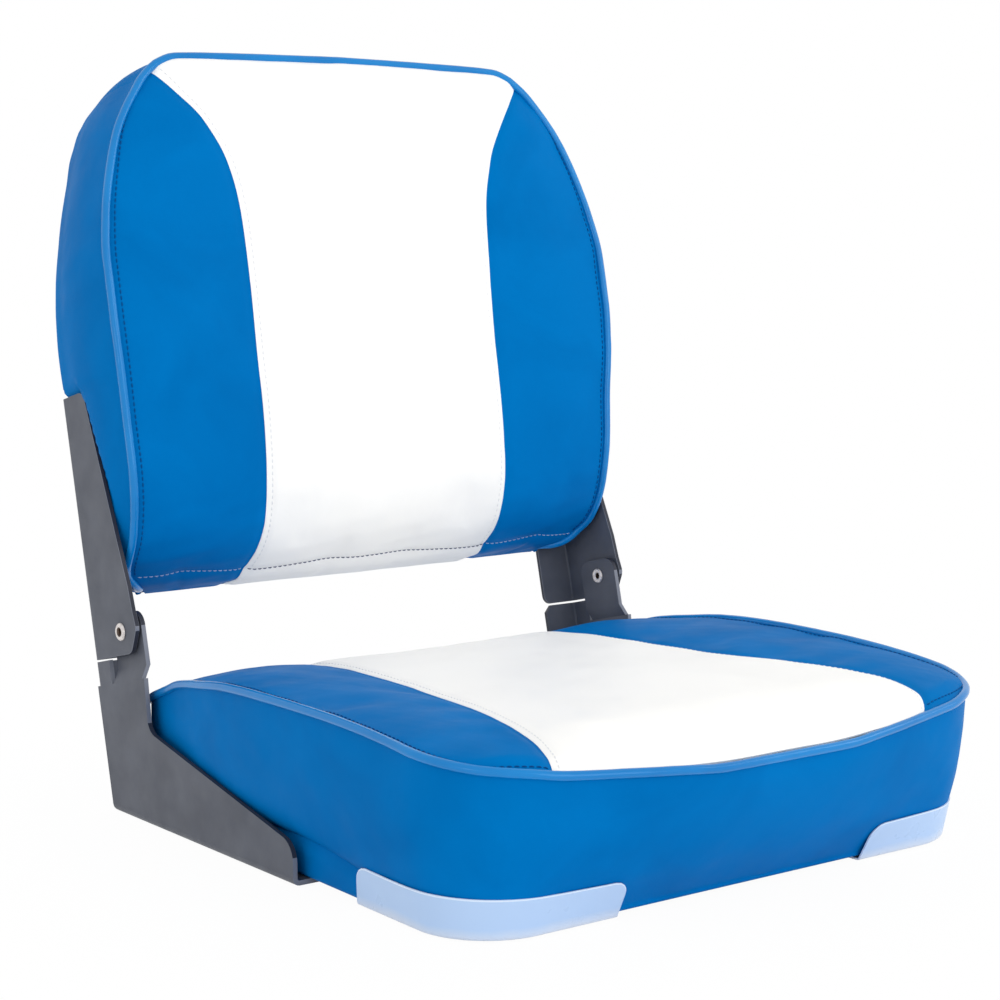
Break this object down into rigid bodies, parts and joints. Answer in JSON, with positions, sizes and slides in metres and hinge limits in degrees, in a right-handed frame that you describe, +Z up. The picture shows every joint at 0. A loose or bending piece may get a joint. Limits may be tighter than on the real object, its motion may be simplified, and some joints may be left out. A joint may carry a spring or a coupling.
{
  "type": "folding boat seat",
  "caption": "Padded folding boat seat with a flat underside for a pedestal, a welted seat cushion and a backrest that folds forward on sheet-metal hinge brackets.",
  "frame": {"origin": "middle of the flat pedestal face under the seat base, on the seat's line of symmetry", "axes": "+X to the right of a viewer facing the front of the seat, +Y to the rear where the backrest stands, +Z up; the front edge of the seat faces -Y"},
  "size_m": [0.4198, 0.5318, 0.4968],
  "materials": {
    "blue_vinyl": "embossed fine-grain vinyl, semi-gloss",
    "blue_welt": "smooth vinyl piping, semi-gloss",
    "white_vinyl": "embossed fine-grain vinyl, semi-gloss",
    "bracket_paint": "grey powder coat, satin",
    "bright_steel": "plated, bright",
    "washer_nylon": "moulded, matte",
    "base_plastic": "injection moulded, matte",
    "foam": "open-cell polyurethane foam",
    "board": "plain plywood",
    "guard_plastic": "thin translucent film moulding, glossy"
  },
  "bodies": {
    "seat": {"seat_base": "base_plastic", "seat_foam": "foam", "seat_top_middle": "white_vinyl", "seat_top_left": "blue_vinyl", "seat_top_right": "blue_vinyl", "seat_boxing": "blue_vinyl", "seat_welt": "blue_welt", "threaded_insert_front_left": "bright_steel", "threaded_insert_front_right": "bright_steel", "threaded_insert_rear_left": "bright_steel", "threaded_insert_rear_right": "bright_steel", "corner_guard_left": "guard_plastic", "corner_guard_right": "guard_plastic", "base_screw_left_1": "bright_steel", "base_screw_left_2": "bright_steel", "base_screw_left_3": "bright_steel", "base_screw_right_1": "bright_steel", "base_screw_right_2": "bright_steel", "base_screw_right_3": "bright_steel", "lower_bracket_left": "bracket_paint", "lower_bracket_right": "bracket_paint", "pivot_rivet_left": "bright_steel", "pivot_rivet_right": "bright_steel", "pivot_washer_left": "washer_nylon", "pivot_washer_right": "washer_nylon"},
    "back": {"back_board": "board", "back_foam": "foam", "back_front_middle": "white_vinyl", "back_front_left": "blue_vinyl", "back_front_right": "blue_vinyl", "back_boxing": "blue_vinyl", "back_welt": "blue_welt", "back_rear_cover": "blue_vinyl", "upper_bracket_left": "bracket_paint", "upper_bracket_right": "bracket_paint", "back_screw_left_1": "bright_steel", "back_screw_left_2": "bright_steel", "back_screw_left_3": "bright_steel", "back_screw_right_1": "bright_steel", "back_screw_right_2": "bright_steel", "back_screw_right_3": "bright_steel"}
  },
  "joints": [
    {"name": "fold", "type": "hinge", "parent": "seat", "child": "back", "pos_m": [0, 0.161, 0.1175], "axis": [1, 0, 0], "range_deg": [0, 88]}
  ]
}
